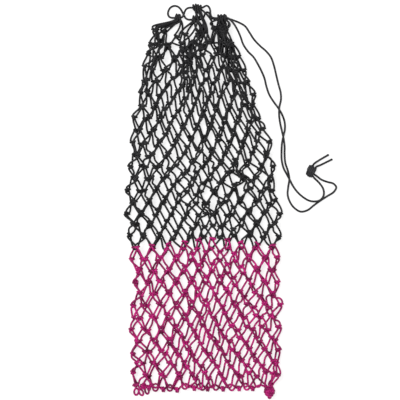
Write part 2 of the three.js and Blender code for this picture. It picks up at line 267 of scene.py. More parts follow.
def smooth_route(points, step):
    """Centripetal Catmull-Rom curve through the points, the curve that the CAD cords follow."""
    points = np.asarray(points, float)
    points = np.vstack([2 * points[0] - points[1], points, 2 * points[-1] - points[-2]])
    pieces = []
    for before, start, end, after in zip(points, points[1:], points[2:], points[3:]):
        gaps = [np.linalg.norm(b - a) ** 0.5 for a, b in ((before, start), (start, end), (end, after))]
        out_speed = (start - before) / gaps[0] - (end - before) / (gaps[0] + gaps[1])
        out_speed = (out_speed + (end - start) / gaps[1]) * gaps[1]
        in_speed = (end - start) / gaps[1] - (after - start) / (gaps[1] + gaps[2])
        in_speed = (in_speed + (after - end) / gaps[2]) * gaps[1]
        share = np.linspace(0, 1, 24, endpoint=False)[:, None]
        pieces.append(hermite(start, out_speed, end, in_speed, share))
    return spaced(np.vstack(pieces + [points[-2:-1]]), step)


def hermite(start, start_speed, end, end_speed, share):
    square, cube = share ** 2, share ** 3
    return (
        (2 * cube - 3 * square + 1) * start + (cube - 2 * square + share) * start_speed
        + (3 * square - 2 * cube) * end + (cube - square) * end_speed
    )


def tighten(strands, spacing, shrink, rounds, touch):
    """Pulls loose strands tight. Lengths are in diameters: each strand gets shorter between its
    held ends, and strands push each other apart to the distance touch."""
    paths = [spaced(np.asarray(strand, float), spacing) for strand in strands]
    sizes = [len(path) for path in paths]
    points = np.vstack(paths)
    strand = np.repeat(np.arange(len(paths)), sizes)
    place = np.concatenate([np.arange(size) for size in sizes])
    link = np.flatnonzero(strand[1:] == strand[:-1])
    start_rest = np.linalg.norm(points[link + 1] - points[link], axis=1)
    inner = np.flatnonzero((strand[1:-1] == strand[:-2]) & (strand[1:-1] == strand[2:])) + 1
    free = np.ones((len(points), 1))
    for index, size in enumerate(sizes):
        own = np.flatnonzero(strand == index)
        free[own[[0, 1, -2, -1]]] = 0
    first, second = np.triu_indices(len(points), 2)
    shortest = 1.6 * touch / spacing
    may_touch = (strand[first] != strand[second]) | (place[second] - place[first] > shortest)
    first, second = first[may_touch], second[may_touch]
    for turn in range(rounds):
        rest = start_rest * (1 - shrink * min(1, turn / (0.8 * rounds)))
        middle = (points[inner - 1] + points[inner + 1]) / 2
        points[inner] += 0.25 * (middle - points[inner]) * free[inner]
        if turn % 10 == 0:
            gap = np.linalg.norm(points[second] - points[first], axis=1)
            close = gap < touch + 0.6
            near_first, near_second = first[close], second[close]
        for _ in range(4):
            along = points[link + 1] - points[link]
            length = np.linalg.norm(along, axis=1)
            change = along * (0.25 * (length - rest) / length)[:, None]
            push = np.zeros_like(points)
            np.add.at(push, link, change)
            np.add.at(push, link + 1, -change)
            points = points + push * free
            along = points[near_second] - points[near_first]
            length = np.linalg.norm(along, axis=1)
            deep = length < touch
            a, b = near_first[deep], near_second[deep]
            length = np.maximum(length[deep], 1e-6)
            change = along[deep] * (0.5 * (touch - length) / length)[:, None]
            push = np.zeros_like(points)
            count = np.zeros((len(points), 1))
            np.add.at(push, a, -change)
            np.add.at(push, b, change)
            np.add.at(count, a, 1)
            np.add.at(count, b, 1)
            points = points + push / np.maximum(count, 1) * free
    return np.split(points, np.cumsum(sizes)[:-1])


# ---- Meshes ----
def turning_frames(path, closed):
    """Two directions across a path at each point, which turn no more than they must."""
    if closed:
        along = np.roll(path, -1, axis=0) - np.roll(path, 1, axis=0)
    else:
        along = np.gradient(path, axis=0)
    along = unit(along)
    side = np.empty_like(along)
    start = np.cross(along[0], (0, 0, 1))
    side[0] = unit(start if np.linalg.norm(start) > 0.1 else np.cross(along[0], (1, 0, 0)))
    for index in range(1, len(path)):
        carried = side[index - 1] - along[index] * (side[index - 1] @ along[index])
        side[index] = carried / math.sqrt(carried @ carried)
    other = np.cross(along, side)
    if closed:
        carried = side[-1] - along[0] * (side[-1] @ along[0])
        twist = math.atan2(carried @ other[0], carried @ side[0])
        angle = -twist * np.arange(len(path)) / len(path)
        cos, sin = np.cos(angle)[:, None], np.sin(angle)[:, None]
        side, other = side * cos + other * sin, other * cos - side * sin
    return side, other


def tube(name, path, diameter, sides, material, closed=False, blunt=0.0):
    """A round length of twine or cord with a UV map along and round it. An open end is closed
    by a cap that narrows over the length blunt."""
    path = np.asarray(path, float)
    side, other = turning_frames(path, closed)
    run = run_along(path)
    radius = np.ones(len(path)) * diameter / 2
    if blunt:
        from_end = np.minimum(run, run[-1] - run)
        narrow = np.clip(from_end / blunt, 0, 1)
        radius *= np.sqrt(1 - (1 - narrow) ** 2 * 0.9)
    turn = 2 * np.pi * np.arange(sides) / sides
    ring = side[:, None] * np.cos(turn)[:, None] + other[:, None] * np.sin(turn)[:, None]
    corners = path[:, None] + radius[:, None, None] * ring
    rings = len(path)
    spans = rings if closed else rings - 1
    here = np.arange(spans)[:, None]
    there = (here + 1) % rings
    column = np.arange(sides)[None]
    neighbour = (column + 1) % sides
    quads = np.stack([
        here * sides + column, here * sides + neighbour,
        there * sides + neighbour, there * sides + column,
    ], axis=-1).reshape(-1, 4)
    total = run[-1] + (np.linalg.norm(path[0] - path[-1]) if closed else 0)
    ends = np.append(run[1:], total)[:spans]
    u = np.stack([run[:spans], run[:spans], ends, ends], axis=-1)
    v = np.stack([column[0], column[0] + 1, column[0] + 1, column[0]], axis=-1) / sides
    uv = np.stack(np.broadcast_arrays(u[:, None], v[None]), axis=-1).reshape(-1, 2)
    caps = [] if closed else [np.arange(sides)[::-1], (rings - 1) * sides + np.arange(sides)]
    return mesh_object(name, corners.reshape(-1, 3), quads, caps, uv, material)


def mesh_object(name, corners, quads, caps, uv, material):
    mesh = bpy.data.meshes.new(name)
    sizes = [4] * len(quads) + [len(cap) for cap in caps]
    loops = np.concatenate([quads.reshape(-1), *caps]).astype(np.int32)
    mesh.vertices.add(len(corners))
    mesh.vertices.foreach_set("co", corners.astype(np.float32).reshape(-1))
    mesh.loops.add(len(loops))
    mesh.loops.foreach_set("vertex_index", loops)
    mesh.polygons.add(len(sizes))
    starts = np.concatenate([[0], np.cumsum(sizes)[:-1]]).astype(np.int32)
    mesh.polygons.foreach_set("loop_start", starts)
    mesh.polygons.foreach_set("use_smooth", np.ones(len(sizes), bool))
    layer = mesh.uv_layers.new(name="twine")
    cap_uv = np.zeros((len(loops) - len(uv), 2))
    layer.data.foreach_set("uv", np.vstack([uv, cap_uv]).astype(np.float32).reshape(-1))
    mesh.update(calc_edges=True)
    mesh.validate()
    piece = bpy.data.objects.new(name, mesh)
    bpy.context.scene.collection.objects.link(piece)
    mesh.materials.append(material)
    return piece


def joined(name, pieces):
    """Several tubes as one piece."""
    bpy.ops.object.select_all(action="DESELECT")
    for piece in pieces:
        piece.select_set(True)
    bpy.context.view_layer.objects.active = pieces[0]
    bpy.ops.object.join()
    pieces[0].name = name
    pieces[0].data.name = name
    return pieces[0]


# ---- Materials ----
def set_inputs(node, values):
    for name, value in values.items():
        node.inputs[name].default_value = value


def braided(name, colour, pale, pitch, plies, roughness, sheen, relief):
    """Braided or laid twine: crossing plies in the UV map. In random worn patches the crowns of the
    plies are painted paler as a painted highlight, and the grooves between them keep the dark colour
    as painted shade.
    """
    material = bpy.data.materials.new(name)
    material.use_nodes = True
    nodes, links = material.node_tree.nodes, material.node_tree.links
    shader = nodes["Principled BSDF"]
    set_inputs(shader, {"Sheen Weight": sheen, "Sheen Roughness": 0.5, "Specular IOR Level": 0.25})

    def math_node(operation, first, second=None):
        node = nodes.new("ShaderNodeMath")
        node.operation = operation
        for socket, value in zip(node.inputs, (first, second)):
            if value is None:
                continue
            if isinstance(value, (int, float)):
                socket.default_value = value
            else:
                links.new(value, socket)
        return node.outputs[0]

    uv_map = nodes.new("ShaderNodeUVMap")
    uv_map.uv_map = "twine"
    split = nodes.new("ShaderNodeSeparateXYZ")
    links.new(uv_map.outputs["UV"], split.inputs[0])
    along = math_node("MULTIPLY", split.outputs["X"], 2 * math.pi / pitch)
    around = math_node("MULTIPLY", split.outputs["Y"], 2 * math.pi * plies)
    left = math_node("SINE", math_node("ADD", along, around))
    right = math_node("SINE", math_node("SUBTRACT", along, around))
    crown = math_node("MULTIPLY", math_node("ADD", math_node("MAXIMUM", left, right), 1), 0.5)

    place = nodes.new("ShaderNodeTexCoord")

    def noise(scale, detail):
        texture = nodes.new("ShaderNodeTexNoise")
        set_inputs(texture, {"Scale": scale, "Detail": detail})
        links.new(place.outputs["Object"], texture.inputs["Vector"])
        return texture.outputs["Fac"]

    blotch = noise(scale=55, detail=3)
    fibre = noise(scale=1800, detail=4)
    patch = nodes.new("ShaderNodeMapRange")
    set_inputs(patch, {"From Min": 0.3, "From Max": 0.7})
    links.new(blotch, patch.inputs["Value"])
    # Random worn patches times the ply crowns: the crowns get the pale colour as a painted highlight,
    # and the grooves get the dark colour as painted shade.
    wear_and_painted_shade = math_node("MULTIPLY", crown, patch.outputs["Result"])
    mix = nodes.new("ShaderNodeMix")
    mix.data_type = "RGBA"
    set_inputs(mix, {"A": (*colour, 1), "B": (*pale, 1)})
    links.new(wear_and_painted_shade, mix.inputs["Factor"])
    links.new(mix.outputs["Result"], shader.inputs["Base Color"])

    rough = math_node("ADD", math_node("MULTIPLY", fibre, 0.2), roughness - 0.1)
    links.new(rough, shader.inputs["Roughness"])
    height = math_node("ADD", crown, math_node("MULTIPLY", fibre, 0.5))
    bump = nodes.new("ShaderNodeBump")
    set_inputs(bump, {"Distance": relief, "Strength": 0.8})
    links.new(height, bump.inputs["Height"])
    links.new(bump.outputs["Normal"], shader.inputs["Normal"])
    return material


# In each finish, pale is the painted highlight on the ply crowns, and colour is also the painted shade
# in the grooves between them.
black_twine = braided(
    "black_twine", colour=(0.004, 0.004, 0.005), pale=(0.034, 0.034, 0.036),
    pitch=TWINE_PLY, plies=2, roughness=0.6, sheen=0.03, relief=0.0005)
pink_twine = braided(
    "pink_twine", colour=(0.13, 0.001, 0.042), pale=(0.82, 0.012, 0.30),
    pitch=TWINE_PLY, plies=2, roughness=0.55, sheen=0.03, relief=0.0005)
black_cord = braided(
    "black_cord", colour=(0.006, 0.006, 0.007), pale=(0.05, 0.05, 0.054),
    pitch=CORD_PLY, plies=4, roughness=0.6, sheen=0.03, relief=0.0004)
melted = braided(
    "melted_cord", colour=(0.005, 0.005, 0.006), pale=(0.015, 0.015, 0.017),
    pitch=CORD_PLY, plies=4, roughness=0.35, sheen=0.0, relief=0.0001)


# ---- Stage ----
def build_stage():
    bpy.ops.mesh.primitive_plane_add(size=12, location=(0, 0, -0.0005))
    floor = bpy.context.active_object
    floor.name = "floor"
    paper = bpy.data.materials.new("floor_paper")
    paper.use_nodes = True
    set_inputs(paper.node_tree.nodes["Principled BSDF"], {
        "Base Color": (0.4, 0.4, 0.4, 1), "Roughness": 0.9, "Specular IOR Level": 0.1,
        "Emission Color": (1, 1, 1, 1), "Emission Strength": 0.72,
    })
    floor.data.materials.append(paper)

    world = bpy.data.worlds.new("studio")
    world.use_nodes = True
    set_inputs(world.node_tree.nodes["Background"], {"Color": (1, 1, 1, 1), "Strength": 0.5})
    bpy.context.scene.world = world
    bpy.context.scene.view_settings.view_transform = "Standard"

    for name, place, power, size in (
        ("key_light", (-1.3, 0.9, 2.6), 55, 1.4),
        ("fill_light", (1.6, -0.6, 2.4), 16, 2.2),
    ):
        light = bpy.data.objects.new(name, bpy.data.lights.new(name, "AREA"))
        light.data.energy = power
        light.data.size = size
        light.location = place
        light.rotation_euler = (-light.location).to_track_quat("-Z", "Y").to_euler()
        bpy.context.scene.collection.objects.link(light)

    camera = bpy.data.objects.new("camera", bpy.data.cameras.new("camera"))
    bpy.context.scene.collection.objects.link(camera)
    camera.location = (CAMERA_X, 0, CAMERA_HEIGHT)
    camera.data.sensor_width = SENSOR
    camera.data.lens = SENSOR * CAMERA_HEIGHT / VIEW_WIDTH
    bpy.context.scene.camera = camera


build_stage()


# ---- Knots ----
def sheet_bend():
    """The bight and the wrap of one tight knot, in its own units, cut where their legs leave
    the knot."""
    bight, wrap = tighten(
        [smooth_route(BIGHT, 0.2), smooth_route(WRAP, 0.2)],
        spacing=0.25, shrink=0.25, rounds=600, touch=KNOT_PRESS,
    )
    step = KNOT_STEP / KNOT_SIZE
    return spaced(bight[bight[:, 1] < LEG_END], step), spaced(wrap[wrap[:, 1] > -LEG_END], step)


def rounded_foot():
    """The foot of a last mesh, in a knot's units, which the lacing goes through."""
    turn = np.radians(np.linspace(200, 340, 11))
    return FOOT_RADIUS * np.stack([np.cos(turn), np.sin(turn), 0 * turn], axis=1)


NETTING_KNOT = sheet_bend()
LAST_MESH = [rounded_foot()]


# ---- The mouth loops on the drawstring ----
class MouthLoop:
    """One mouth loop: its place on the drawstring, the width it has there, and its heading round
    the tube, 1 in front and -1 behind. Where it has room it goes round the cord once more. It
    is more or less loose on the cord, reaches out beyond it and leans to a side."""

    def __init__(self, place, width, heading):
        self.place, self.width, self.heading = place, width, heading
        self.loose = rng.uniform(0.0002, 0.0022)
        self.reach = rng.uniform(1, 1.5)
        self.lean = rng.normal(0, 0.4) * width
        self.doubled = width > 1.1 * TWINE

    def tip(self):
        """Its twine round the drawstring: up from in front, over, down and back below."""
        radius = (CORD + TWINE) / 2 + self.loose
        over = math.radians(40)
        end = math.pi + over + (2 * math.pi if self.doubled else 0)
        turn = np.linspace(-over, end, 40 if self.doubled else 18)
        slide = self.heading * 0.35 * self.width * np.linspace(-1, 1, len(turn))
        slide += self.lean * np.sin(turn)
        beyond = radius * np.sin(turn) * self.reach
        around = np.stack([slide, beyond, radius * np.cos(turn)], axis=1)
        return np.array(self.place) + around


def bunch(node, count, heading):
    """Loops side by side in the place of one of the CAD's bunches, left to right."""
    low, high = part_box(node)
    width = (high.x - low.x) / count
    centre = middle_of(node)
    return [
        MouthLoop((low.x + (number + 0.5) * width, centre.y, centre.z), width, heading)
        for number in range(count)
    ]


def mouth_loops():
    """All the loops in order round the tube, from the left fold. The left bunch holds loops of
    both layers, in turn."""
    left_front = bunch("mouth_bunch_left", 5, 1)
    left_back = bunch("mouth_bunch_left", 5, -1)
    front = left_front[0::2]
    front += bunch("mouth_bunch_middle_front", 4, 1)
    front += bunch("mouth_bunch_right_front", 4, 1)
    back = left_back[1::2]
    back += bunch("mouth_bunch_middle_back", 4, -1)
    back += bunch("mouth_bunch_right_back", 3, -1)
    return front + back[::-1]


MOUTH_LOOPS = mouth_loops()


# ---- The net, laid out in plan ----
def knot_row_y(row):
    upper = min(row, UPPER_BLACK_ROWS)
    black = min(max(row - UPPER_BLACK_ROWS, 0), BLACK_ROWS - UPPER_BLACK_ROWS)
    pink = max(row - BLACK_ROWS, 0)
    return FIRST_KNOT_Y - upper * UPPER_PITCH - black * BLACK_PITCH - pink * PINK_PITCH


ROW_NODES = (
    ["mouth_loop_row"]
    + [f"black_mesh_row_{row:02d}" for row in range(1, BLACK_ROWS + 1)]
    + [f"pink_mesh_row_{row:02d}" for row in range(1, PINK_ROWS + 1)]
)


def silhouette(y):
    """The net's left and right edges at a height, from the CAD rows."""
    boxes = [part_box(node) for node in ROW_NODES][::-1]
    heights = [(low.y + high.y) / 2 for low, high in boxes]
    left = np.interp(y, heights, [low.x for low, _ in boxes])
    right = np.interp(y, heights, [high.x for _, high in boxes])
    return left, right


def drift_field(size, shortest, longest, waves=6):
    """A function for a smooth random shift over the plan, by about size (x, y), in waves of
    these lengths."""
    heading = rng.uniform(0, 2 * np.pi, waves)
    length = rng.uniform(shortest, longest, waves)
    phase = rng.uniform(0, 2 * np.pi, waves)
    swing = rng.normal(0, size, (waves, 2)) / math.sqrt(waves / 2)

    def shift(x, y):
        across = x[..., None] * np.cos(heading) + y[..., None] * np.sin(heading)
        return np.sin(2 * np.pi * across / length + phase) @ swing

    return shift


def lower_neighbours(row):
    """Indices of the knots left and right below each knot of a row, counted round the tube."""
    own = np.arange(MESHES)
    if row % 2 == 0:
        return own, (own + 1) % MESHES
    return (own - 1) % MESHES, own


def gathered(across, left, right):
    """How far across the net the knots lie, drawn in row by row under their mouth loops.
    Those at the side folds stay further out."""
    half = MESHES // 2
    loops = np.array([loop.place[0] for loop in MOUTH_LOOPS[:half + 1]])
    hung = np.interp(across * half, np.arange(half + 1), loops)
    spread = left + (hung - loops[0]) / (loops[-1] - loops[0]) * (right - left)
    drawn = hung + (0.9 - 0.8 * across) * (spread - hung)
    even = left + across * (right - left)
    return even + gather_share() * (drawn - even)


def gather_share():
    """How much each row is gathered, from 1 at the mouth."""
    return np.clip(1 - np.arange(KNOT_ROWS + 1) / GATHERED_ROWS, 0, 1)[:, None]


def wander(x, y, in_front):
    """Smooth random shifts of the front and the back layer: wide drifts, calmer near the
    laced bottom, and shorter tangles near the mouth."""
    drifts = [drift_field(DRIFT, *DRIFT_WAVES) for _ in range(2)]
    tangles = [drift_field(TANGLE, *TANGLE_WAVES) for _ in range(2)]
    calm = np.interp(y, (-0.30, -0.15), (0.8, 1))[..., None]
    tangled = np.clip(1 - np.arange(len(x)) / TANGLED_ROWS, 0, 1)[:, None, None]

    def by_layer(front, back):
        return in_front * front(x, y) + (1 - in_front) * back(x, y)

    return calm * by_layer(*drifts) + tangled * by_layer(*tangles)


def lay_out():
    """Plan of every knot: shares of the way round, places, and how far each is in the front
    layer, from 1 there to -1 in the back layer. The last row is the feet that are laced."""
    rows = KNOT_ROWS + 1
    row_y = np.array([knot_row_y(row) for row in range(rows)])
    height, twist, slip = np.array(LAYER_OFFSETS).T
    shift = np.where(np.arange(rows) % 2 == 0, 0.5, 0.0) + np.interp(row_y, height, twist)
    share = (np.arange(MESHES)[None] + shift[:, None]) / MESHES
    across = 1 - 2 * np.abs(share - 0.5)
    y = np.broadcast_to(row_y[:, None], share.shape)
    left, right = silhouette(y)
    left, right = left + EDGE_INSET, right - EDGE_INSET
    x = gathered(across, left, right)
    layer = np.where(share < 0.5, 1.0, -1.0) * np.clip(across / 0.1, 0, 1)
    in_front = (layer[..., None] + 1) / 2
    move = wander(x, y, in_front)
    move[..., 1] += np.interp(y, height, slip) * layer * np.clip(across / 0.35, 0, 1)
    off_x, off_y = (x - RISE_PLACE[0]) / RISE_REACH[0], (y - RISE_PLACE[1]) / RISE_REACH[1]
    move[..., 1] += FRONT_RISE * np.exp(-off_x ** 2 - off_y ** 2) * in_front[..., 0]
    scatter = rng.normal(0, SCATTER, move.shape)
    move += scatter * np.stack([1 + gather_share(), 1 + 3 * gather_share()], axis=-1)
    move[-1] *= 0.3                        # the lacing holds the last row
    place = np.stack([x, y], axis=-1) + move
    for _ in range(30):
        settle(place, layer)
        place[..., 0] = np.clip(place[..., 0], left, right)
        for index, knot, off_x, off_y in TIED_MESHES:
            place[-1, index] = knot.x + off_x, knot.y + off_y
    tied = [index for index, *_ in TIED_MESHES]
    hanging = [index for index in range(MESHES) if index not in tied]
    place[-1, hanging, 1] -= LAST_DROP
    return share, place, layer


def settle(place, layer):
    """One round of pulling knots that are too far apart for their twine, and parting those
    that lie too close."""
    push = np.zeros_like(place)
    count = np.ones(place.shape[:2])[..., None]
    for row in range(KNOT_ROWS):
        for below in lower_neighbours(row):
            along = place[row + 1, below] - place[row]
            length = np.linalg.norm(along, axis=1, keepdims=True)
            wrong = length - np.clip(length, SHORTEST_BAR, LONGEST_BAR)
            change = 0.5 * along * wrong / length
            push[row] += change
            np.add.at(push[row + 1], below, -change)
            count[row] += 1
            np.add.at(count[row + 1], below, 1)
    flat, depth = place.reshape(-1, 2), layer.reshape(-1)
    apart = np.linalg.norm(flat[:, None] - flat[None], axis=2)
    same = np.abs(depth[:, None] - depth[None]) < 0.6
    least = np.where(same, KNOT_GAP, LAYER_GAP) * np.where(flat[:, 1] > CROWDED_Y, CROWDED, 1)
    first, second = np.nonzero(np.triu(apart < least, 1))
    along = flat[second] - flat[first]
    length = np.maximum(apart[first, second], 1e-5)[:, None]
    change = 0.5 * along * (least[first, second][:, None] - length) / length
    flat_push = push.reshape(-1, 2)
    np.add.at(flat_push, first, -change)
    np.add.at(flat_push, second, change)
    place += 0.8 * push / np.sqrt(count)


# ---- Knots in space ----
def turned(axes, axis, angle):
    """Axes (rows) turned about one of themselves."""
    a, b = [(1, 2), (2, 0), (0, 1)][axis]
    cos, sin = math.cos(angle), math.sin(angle)
    result = axes.copy()
    result[a] = cos * axes[a] + sin * axes[b]
    result[b] = cos * axes[b] - sin * axes[a]
    return result


def knot_axes(share, layer, lean):
    """Which way a knot faces: outward from the flat tube, on its edge at a side fold. Its up
    axis leans with its neighbours."""
    side = -1.0 if (share + 0.25) % 1 < 0.5 else 1.0
    face = layer * math.pi / 2
    if abs(layer) < 0.2:
        face = rng.choice([-1, 1]) * rng.uniform(0.5, 1.1)
    outward = np.array([side * math.cos(face), 0, math.sin(face)])
    up = np.array([0.0, 1.0, 0.0])
    axes = np.stack([np.cross(up, outward), up, outward])
    heading = math.atan2(-(lean @ axes[0]), lean @ axes[1])
    axes = turned(axes, 2, 0.8 * heading + rng.normal(0, KNOT_TURN))
    axes = turned(axes, 0, rng.normal(0, KNOT_TILT))
    return turned(axes, 1, rng.normal(0, KNOT_TILT))


class Skyline:
    """The height of the twine that already lies on the floor, on a grid."""

    cell = 0.0013
    margin = 0.03

    def __init__(self):
        low, high = np.array(cad_box)[:, :2]
        self.low = low - self.margin
        size = (high + self.margin - self.low) / self.cell
        self.height = np.zeros(np.ceil(size).astype(int))

    def cells(self, points):
        where = ((points[..., :2] - self.low) / self.cell).astype(int)
        return where[..., 0], where[..., 1]

    def add(self, points):
        radius = TWINE / 2
        reach = int(radius / self.cell) + 1
        column, row = self.cells(points)
        for i in range(-reach, reach + 1):
            for j in range(-reach, reach + 1):
                off = self.cell * math.hypot(i, j)
                if off < radius:
                    top = points[..., 2] + math.sqrt(radius ** 2 - off ** 2)
                    np.maximum.at(self.height, (column + i, row + j), top)

    def under(self, points):
        """Height of what lies under a strand at each point, in its own cell or beside it."""
        column, row = self.cells(points)
        shifts = [(i, j) for i in (-1, 0, 1) for j in (-1, 0, 1)]
        return np.max([self.height[column + i, row + j] for i, j in shifts], axis=0)


class Knot:
    """One tight knot in its place: the points of its bight and of its wrap. A last mesh has
    only its foot, which serves as both."""

    def __init__(self, place, axes, strands, flipped):
        size = KNOT_SIZE * rng.uniform(0.94, 1.06)
        if flipped:
            axes = axes * np.array([[-1], [1], [-1]])
        self.strands = [strand @ axes * size for strand in strands]
        for strand in self.strands:
            strand[:, :2] += place
            if flipped:
                strand[:] = strand[::-1].copy()
        self.bight, self.wrap = self.strands[0], self.strands[-1]

    def lift(self, height):
        for strand in self.strands:
            strand[:, 2] += height


def bars_between(starts, ends):
    """The free twine between knots: starts and ends are lists of strands whose last and first
    points the bars join. Returns an array of bars, each with its two end points."""
    tail = np.array([strand[[-1, -3]] for strand in starts])
    head = np.array([strand[[0, 2]] for strand in ends])
    start, end = tail[:, 0], head[:, 0]
    apart = np.linalg.norm(end - start, axis=1, keepdims=True)
    straight = unit(end - start)
    start_speed = unit(unit(tail[:, 0] - tail[:, 1]) + BAR_PULL * straight) * apart
    end_speed = unit(unit(head[:, 1] - head[:, 0]) + BAR_PULL * straight) * apart
    share = np.linspace(0, 1, BAR_POINTS + 2)[:, None, None]
    bars = hermite(start, start_speed, end, end_speed, share).transpose(1, 0, 2)
    slack = np.clip(SLACK_BAR - apart[:, 0], 0, MOST_SLACK)
    bow = np.minimum(np.sqrt(0.375 * slack * apart[:, 0]), MOST_BOW)
    bow *= rng.normal(0, 0.7, len(bars))
    across = unit(np.cross(end - start, (0, 0, 1)))
    bars += (np.sin(np.pi * share[:, 0, 0])[None, :, None] * bow[:, None, None]) * across[:, None]
    return bars


def rested(bars, support):
    """Bars sagged on to what is under them, between their fixed ends."""
    for _ in range(14):
        middle = (bars[:, :-2, 2] + bars[:, 2:, 2]) / 2
        bars[:, 1:-1, 2] = 0.5 * bars[:, 1:-1, 2] + 0.5 * middle - SAG_STEP
        bars[:, 1:-1, 2] = np.maximum(bars[:, 1:-1, 2], support(bars[:, 1:-1]))
    return bars


def leans(place):
    """For each knot in plan, the way to its neighbours above from those below."""
    above = np.zeros_like(place)
    below = np.zeros_like(place)
    for row in range(KNOT_ROWS):
        left, right = lower_neighbours(row)
        below[row] = (place[row + 1, left] + place[row + 1, right]) / 2
        np.add.at(above[row + 1], left, place[row] / 2)
        np.add.at(above[row + 1], right, place[row] / 2)
    above[0] = place[0] + (0, UPPER_PITCH)
    below[-1] = place[-1] - (0, PINK_PITCH)
    return above - below


def tie_knots(share, place, layer):
    """The knots of each row where they are in plan, at no height yet."""
    lean = leans(place)
    knots = []
    for row in range(KNOT_ROWS + 1):
        laced = row == KNOT_ROWS
        line = []
        for index in range(MESHES):
            heading = unit(np.append(lean[row, index], 0))
            axes = knot_axes(share[row, index], layer[row, index], heading)
            flipped = not laced and rng.random() < 0.5
            strands = LAST_MESH if laced else NETTING_KNOT
            line.append(Knot(place[row, index], axes, strands, flipped))
        knots.append(line)
    return knots


def floor_under(points):
    return np.full(points.shape[:-1], TWINE / 2)


class Net:
    """The knots, and the bars of free twine between them: down from the wraps of each row to
    the bights of the next, and up again to the next wrap. The back layer comes first, and the
    front layer lies on it, under the drawstring's leg."""

    def __init__(self, leg_over):
        share, place, layer = lay_out()
        self.knots = tie_knots(share, place, layer)
        self.in_back = layer < 0.2
        self.skyline = Skyline()
        shape = (KNOT_ROWS + 1, MESHES, BAR_POINTS + 2, 3)
        self.down, self.up = np.zeros(shape), np.zeros(shape)
        self.lay_back_knots()
        self.stretch_bars(front=False)
        self.lay_front_knots(leg_over)
        self.stretch_bars(front=True)

    def back_under(self, points):
        return self.skyline.under(points) + TWINE / 2 - SOFT_TOUCH

    def lay_back_knots(self):
        for row, index in np.argwhere(self.in_back):
            knot = self.knots[row][index]
            lowest = min(strand[:, 2].min() for strand in knot.strands)
            knot.lift(TWINE / 2 + CLEAR - lowest + (LACED_RISE if row == KNOT_ROWS else 0))
            for strand in knot.strands:
                self.skyline.add(strand)

    def lay_front_knots(self, leg_over):
        leg_room = (CORD + TWINE) / 2
        for row, index in np.argwhere(~self.in_back):
            knot = self.knots[row][index]
            own = np.vstack(knot.strands)
            lift = (self.back_under(own) - own[:, 2]).max() - SOFT_TOUCH
            apart = np.linalg.norm(leg_over[:, None, :2] - own[None, :, :2], axis=2)
            leg, point = np.nonzero(apart < leg_room)
            if len(leg):
                room = leg_over[leg, 2] - leg_room - 2 * CLEAR - own[point, 2]
                lift = min(lift, room.min())
            knot.lift(max(lift, TWINE / 2 - own[:, 2].min()))

    def stretch_bars(self, front):
        """The bars of one layer. Those that pass round a side fold count as front."""
        for row in range(1, KNOT_ROWS + 1):
            _, right = lower_neighbours(row - 1)
            wraps = [knot.wrap for knot in self.knots[row - 1]]
            bights = [self.knots[row][index].bight for index in right]
            above, below = self.in_back[row - 1], self.in_back[row, right]
            for bars, starts, ends, in_back in (
                (self.down[row], wraps, bights, above & below),
                (self.up[row], bights, wraps[1:] + wraps[:1], below & np.roll(above, -1)),
            ):
                own = np.flatnonzero(in_back != front)
                hung = bars_between([starts[i] for i in own], [ends[i] for i in own])
                bars[own] = rested(hung, self.back_under if front else floor_under)
                if not front:
                    self.skyline.add(bars[own])


# ---- Pieces ----
def add_piece(piece, body, slot, *nodes):
    """Attaches a piece to its body and hides the CAD nodes that it replaces. The slot, its finish, is
    not used.
    """
    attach(piece, body)
    if nodes:
        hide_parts(*nodes)
    return piece


def above_floor(path, diameter):
    """The path, raised where a cord of this diameter would sink into the floor."""
    path[:, 2] = np.maximum(path[:, 2], diameter / 2)
    return path


# ---- Drawstring ----
def wound(centre, radii, axis, turns, reach, start, end):
    """One strand of the stopper knot: from its start, wound round a ball about an axis, to its
    end. It begins where on the ball its way there and away is shortest."""
    axis = unit(np.array(axis))
    right = unit(np.cross(axis, (0, 0, 1)))
    back = np.cross(axis, right)
    share = np.linspace(0, 1, int(14 * turns))[:, None]
    along = reach * (2 * share - 1)
    wide = np.sqrt(1 - along ** 2)

    def turns_from(phase):
        turn = 2 * np.pi * turns * share + phase
        ball = wide * (np.cos(turn) * right + np.sin(turn) * back) + along * axis
        return centre + ball * radii

    def detour(points):
        return np.linalg.norm(points[0] - start) + np.linalg.norm(points[-1] - end)

    points = min(map(turns_from, np.linspace(0, 2 * np.pi, 24, endpoint=False)), key=detour)
    return above_floor(smooth_route(np.vstack([start, points, end]), CORD_STEP), CORD)


def melted_end(name, last, before):
    """The bead that a cord's end is melted to."""
    along, share = np.array(MELTED_END).T
    width = CORD * share
    path = last + along[:, None] * unit(last - before)
    return tube(name, above_floor(path, width), width, CORD_SIDES, melted)


def cord_path(route):
    return above_floor(smooth_route(route, CORD_STEP), CORD)


def cord_piece(name, path, node):
    piece = tube(name, path, CORD, CORD_SIDES, black_cord)
    return add_piece(piece, "drawstring", "drawstring_cord", node)


def tie_drawstring():
    """The drawstring's run through the mouth, its two legs, stopper knot and tails. Returns
    the path of the leg that lies over the net."""
    cord_piece("mouth_run_cord", cord_path(MOUTH_ROUTE), "drawstring_mouth_run")
    legs = [cord_path(route) for route in (LEG_A_ROUTE, LEG_B_ROUTE)]
    tails = [cord_path(route) for route in (TAIL_A_ROUTE, TAIL_B_ROUTE)]
    centre = np.array([STOPPER_KNOT.x, STOPPER_KNOT.y, STOPPER_HEIGHT])
    knot = joined("stopper_knot_cord", [
        tube(f"stopper_strand_{side}", wound(centre, *shape, leg[-1], tail[0]),
             CORD, CORD_SIDES, black_cord)
        for side, shape, leg, tail in zip("ab", STOPPER_STRANDS, legs, tails)
    ])
    add_piece(knot, "drawstring", "drawstring_cord", "stopper_knot")
    for side, leg_path, tail_path in zip("ab", legs, tails):
        leg = cord_piece(f"leg_{side}_cord", leg_path, f"drawstring_leg_{side}")
        tail = cord_piece(f"tail_{side}_cord", tail_path, f"drawstring_tail_{side}")
        end = melted_end(f"melted_end_{side}", tail_path[-1], tail_path[-3])
        add_piece(end, "drawstring", "melted_ends", f"sealed_end_{side}")
    return legs[0]


front_leg = tie_drawstring()


# ---- The net's rows ----
net = Net(front_leg)


